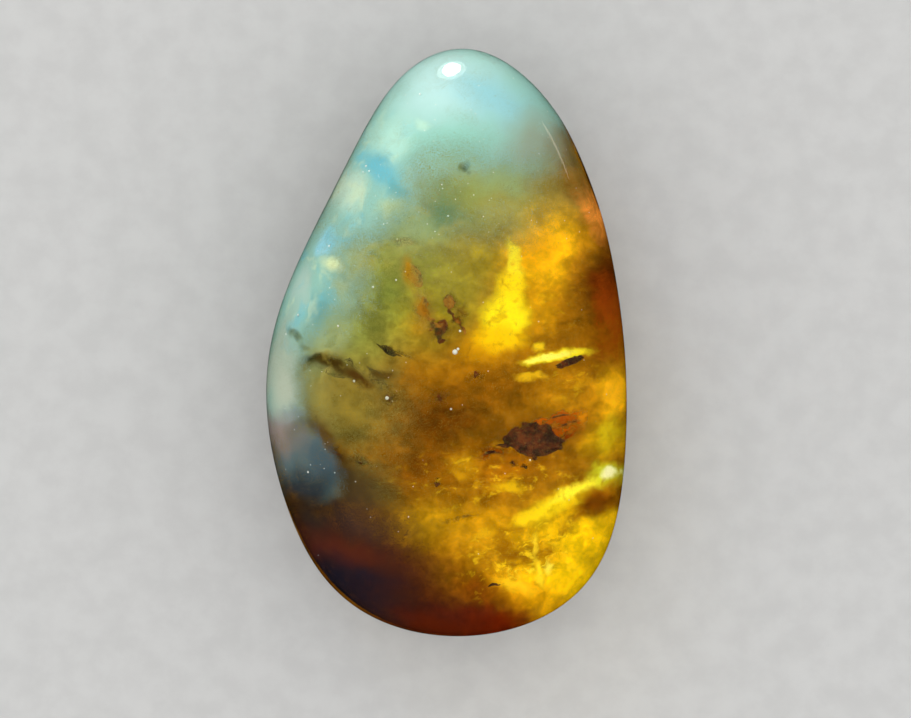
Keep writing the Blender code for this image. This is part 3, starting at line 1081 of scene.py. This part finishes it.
# Torn bits that hang on the debris: pixel, length, width and thickness in millimetres, turn, kind
BITS = (
    ((515, 437), (1.30, 0.62, 0.40), 22, "bark"),
    ((546, 433), (1.50, 0.60, 0.36), -12, "bark"),
    ((529, 426), (0.90, 0.45, 0.36), 35, "bark"),
    ((505, 445), (0.80, 0.22, 0.18), 14, "bark"),
    ((553, 447), (1.00, 0.40, 0.30), -24, "bark"),
    ((534, 456), (0.50, 0.30, 0.26), 60, "bark"),
    ((540, 450), (0.90, 0.34, 0.30), -30, "bark"),
    ((490, 453), (0.90, 0.16, 0.14), 12, "bark"),
    ((513, 463), (0.30, 0.18, 0.16), 0, "bark"),
    ((525, 467), (0.24, 0.16, 0.14), 30, "bark"),
    ((562, 366), (0.60, 0.16, 0.14), 20, "bark"),
    ((578, 357), (0.50, 0.20, 0.16), -10, "bark"),
    ((568, 424), (1.50, 0.14, 0.12), 14, "wood"),
    ((560, 416), (1.10, 0.12, 0.10), 10, "wood"),
    ((436, 326), (0.70, 0.40, 0.30), 40, "wood"),
    ((440, 338), (0.55, 0.42, 0.34), -20, "bark"),
    ((449, 302), (0.55, 0.40, 0.30), 80, "wood"),
    ((451, 312), (0.55, 0.20, 0.16), -70, "wood"),
    ((457, 321), (0.65, 0.18, 0.14), -60, "wood"),
    ((463, 330), (0.60, 0.16, 0.14), -66, "wood"),
    ((411, 268), (0.60, 0.26, 0.20), -60, "wood"),
    ((417, 282), (0.50, 0.34, 0.24), -50, "wood"),
    ((426, 306), (0.90, 0.24, 0.20), -75, "wood"),
    ((430, 318), (0.60, 0.22, 0.20), -40, "wood"),
    ((314, 360), (0.90, 0.26, 0.20), -30, "plant"),
    ((322, 359), (1.10, 0.24, 0.18), 6, "plant"),
    ((334, 372), (1.20, 0.36, 0.24), -16, "plant"),
    ((350, 364), (0.70, 0.30, 0.20), -40, "plant"),
    ((326, 366), (0.80, 0.22, 0.16), -8, "plant"),
    ((338, 363), (0.70, 0.16, 0.14), 14, "plant"),
    ((346, 371), (1.00, 0.26, 0.20), -24, "plant"),
    ((358, 377), (0.80, 0.24, 0.18), -40, "plant"),
    ((372, 372), (0.80, 0.18, 0.16), -56, "plant"),
    ((381, 384), (0.60, 0.20, 0.16), -62, "plant"),
    ((389, 397), (0.34, 0.24, 0.20), 0, "bark"),
    ((384, 348), (0.80, 0.12, 0.10), -24, "plant"),
    ((396, 354), (0.70, 0.10, 0.10), -30, "plant"),
    ((400, 240), (0.50, 0.16, 0.14), 0, "plant"),
    ((412, 243), (0.26, 0.14, 0.12), 40, "plant"),
    ((460, 168), (0.34, 0.20, 0.16), 20, "plant"),
    ((440, 398), (0.34, 0.22, 0.20), -20, "bark"),
    ((437, 484), (0.28, 0.18, 0.16), 0, "bark"),
    ((334, 452), (0.90, 0.18, 0.16), -34, "bark"),
    ((362, 462), (0.60, 0.16, 0.16), -10, "bark"),
    ((476, 375), (0.36, 0.24, 0.20), 30, "bark"),
    ((494, 585), (0.70, 0.16, 0.14), 10, "bark"),
)
BIT_ROUGHNESS = 0.55
BIT_LUMPS = 2.2
BIT_CRUMBLE = 5.5
BIT_TAPER = 0.6
BIT_BEND = 0.3
BIT_STEP = 0.04  # between the heights of neighbouring bits, so that they don't all lie level
BIT_STEPS = 5


def bit_shape(shape, centre, size, turn, seed):
    """Adds one torn bit to a shape, ragged and pointed at its ends."""
    lay = Matrix.Translation(centre) @ Matrix.Rotation(math.radians(turn), 4, "Z")
    made = bmesh.ops.create_icosphere(shape, subdivisions=4, radius=1.0)
    offset = Vector((seed * 3.7, seed * 1.9, seed * 5.3))
    for vert in made["verts"]:
        torn = noise.noise(vert.co * BIT_LUMPS + offset)
        torn += 0.6 * noise.noise(vert.co * BIT_CRUMBLE - offset)
        reach = 1 - BIT_ROUGHNESS * (0.4 + torn)
        taper = 1 - BIT_TAPER * vert.co.x**2
        bend = BIT_BEND * size[1] * math.sin(3 * vert.co.x + seed)
        spread = Vector((size[0], size[1] * taper, size[2] * taper)) / 2
        vert.co = lay @ (reach * vert.co * spread + Vector((0, bend, 0)))


def add_bits(skin, kinds):
    """Torn edges and loose fibres around the chips of the CAD model, one piece for each kind."""
    shapes = {kind: bmesh.new() for kind in kinds}
    for number, (pixel, size, turn, kind) in enumerate(BITS):
        height = SEAM_HEIGHT + BIT_STEP * (number % BIT_STEPS)
        centre = seen_on_level(pixel, skin, height)
        bit_shape(shapes[kind], centre, size, turn, number + 1)
    for kind, shape in shapes.items():
        add_piece(f"{kind}_bits", shape, kinds[kind])


# Grains and bubbles under the skin, the bubbles white as a painted sparkle: pixel, radius in
# millimetres
SPARKLES = (
    ((455, 352), 0.13),
    ((458, 349), 0.07),
    ((387, 398), 0.09),
    ((451, 409), 0.05),
    ((298, 315), 0.07),
    ((338, 326), 0.06),
    ((354, 381), 0.06),
    ((396, 280), 0.05),
    ((373, 287), 0.06),
    ((460, 331), 0.06),
    ((530, 460), 0.05),
    ((308, 472), 0.06),
    ((420, 94), 0.05),
    ((366, 166), 0.06),
    ((369, 171), 0.05),
    ((363, 172), 0.04),
    ((329, 246), 0.06),
    ((448, 216), 0.05),
    ((286, 334), 0.05),
)
SPARKLE_DEPTH = 1.0
VEILED_DEPTH = 0.22
DUST_COUNT = 170
DUST_RADIUS = (0.012, 0.030)
DUST_SEED = 4

# Where dust may lie, as columns and rows of pixels, and where the stone is milky
DUST_COLUMNS = (270, 620)
DUST_ROWS = (60, 560)
VEILED_LEFT_OF = 345
VEILED_ABOVE = 200
MILKY_LEFT_OF = 350
MILKY_ABOVE = 240
MILKY_LEFT_ENDS = 480
CLEAR_DUST_SHARE = 0.15


def add_dust(skin):
    """White points: the named sparkles, and finer dust that is thickest in the milky parts."""
    chance = random.Random(DUST_SEED)
    grains = []
    for pixel, radius in SPARKLES:
        entry, way = look_in(pixel, skin)
        veiled = pixel[0] < VEILED_LEFT_OF or pixel[1] < VEILED_ABOVE
        grains.append((entry + way * (VEILED_DEPTH if veiled else SPARKLE_DEPTH), radius))
    while len(grains) < DUST_COUNT:
        pixel = (chance.uniform(*DUST_COLUMNS), chance.uniform(*DUST_ROWS))
        on_left = pixel[0] < MILKY_LEFT_OF and pixel[1] < MILKY_LEFT_ENDS
        milky = pixel[1] < MILKY_ABOVE or on_left
        look = look_in(pixel, skin)
        if look and (milky or chance.random() < CLEAR_DUST_SHARE):
            grains.append((look[0] + look[1] * VEILED_DEPTH, chance.uniform(*DUST_RADIUS)))
    shape = bmesh.new()
    for centre, radius in grains:
        bmesh.ops.create_icosphere(
            shape, subdivisions=2, radius=radius, matrix=Matrix.Translation(centre)
        )
    add_piece("dust_and_bubbles", shape, pale_dust())


def dress_debris(skin):
    """Better materials for the chips of the CAD model, and the torn bits that hang on them."""
    kinds = {"bark": bark(), "wood": rotten_wood(), "plant": plant_matter()}
    darkest = {"wood_crumb_3": dark_wood()}
    for name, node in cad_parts.items():
        kind = darkest.get(name, kinds.get(name.split("_")[0]))
        if kind:
            for slot in node.material_slots:
                slot.material = kind
    add_bits(skin, kinds)


# Floor, lights and camera

FLOOR_METRES = 1.6


def add_floor():
    shape = bmesh.new()
    bmesh.ops.create_grid(shape, x_segments=1, y_segments=1, size=FLOOR_METRES / 2)
    mesh = bpy.data.meshes.new("floor")
    shape.to_mesh(mesh)
    shape.free()
    mesh.materials.append(pale_floor())
    floor = bpy.data.objects.new("floor", mesh)
    bpy.context.scene.collection.objects.link(floor)
    floor.visible_glossy = False


def add_softbox(name, azimuth, elevation, distance, width, height, power, colour="#FFFFFF"):
    """A soft oval light that looks at the stone, with its distance and size in metres.

    Azimuth 0 is beyond the tip, turning towards +X.
    """
    light = bpy.data.lights.new(name, "AREA")
    light.shape = "ELLIPSE"
    light.size = width
    light.size_y = height
    light.energy = power
    light.color = linear(colour)[:3]
    box = bpy.data.objects.new(name, light)
    turn, rise = math.radians(azimuth), math.radians(elevation)
    level = math.cos(rise)
    way = Vector((math.sin(turn) * level, math.cos(turn) * level, math.sin(rise)))
    box.location = way * distance + Vector((0, 0, WIDEST_HEIGHT * MM))
    box.rotation_euler = way.to_track_quat("Z", "Y").to_euler()
    bpy.context.scene.collection.objects.link(box)
    return box


def add_lights():
    world = bpy.data.worlds.new("studio")
    world.use_nodes = True
    background = world.node_tree.nodes["Background"]
    background.inputs["Color"].default_value = linear("#F9FCFF")
    background.inputs["Strength"].default_value = WORLD_LIGHT
    world.cycles_visibility.glossy = False
    bpy.context.scene.world = world
    add_softbox("key", -9, -6, 0.36, 0.09, 0.12, KEY_POWER)
    sun = add_softbox("sun", -30, 38, 0.36, 0.16, 0.16, SUN_POWER)
    sun.visible_glossy = False
    add_softbox("glow", -9, -6, 0.37, 0.15, 0.18, GLOW_POWER)
    add_softbox("rim", 57, -15, 0.36, 0.09, 0.022, RIM_POWER, "#FFEAD4")


def add_camera():
    """A long lens straight above, which frames the stone as the photograph does."""
    camera = bpy.data.cameras.new("camera")
    camera.lens = CAMERA_LENS
    camera.sensor_width = SENSOR_WIDTH
    camera.clip_start = CAMERA_NEAR_METRES
    view = bpy.data.objects.new("camera", camera)
    view.location = camera_place() * MM
    bpy.context.scene.collection.objects.link(view)
    bpy.context.scene.camera = view


stone = stone_shape(SKIN_DETAIL)
stone_skin = tree_of(stone)
add_skin(stone)
add_insides(stone_skin)
add_dust(stone_skin)
dress_debris(stone_skin)
add_floor()
add_lights()
add_camera()
bpy.context.scene.view_settings.view_transform = "Standard"
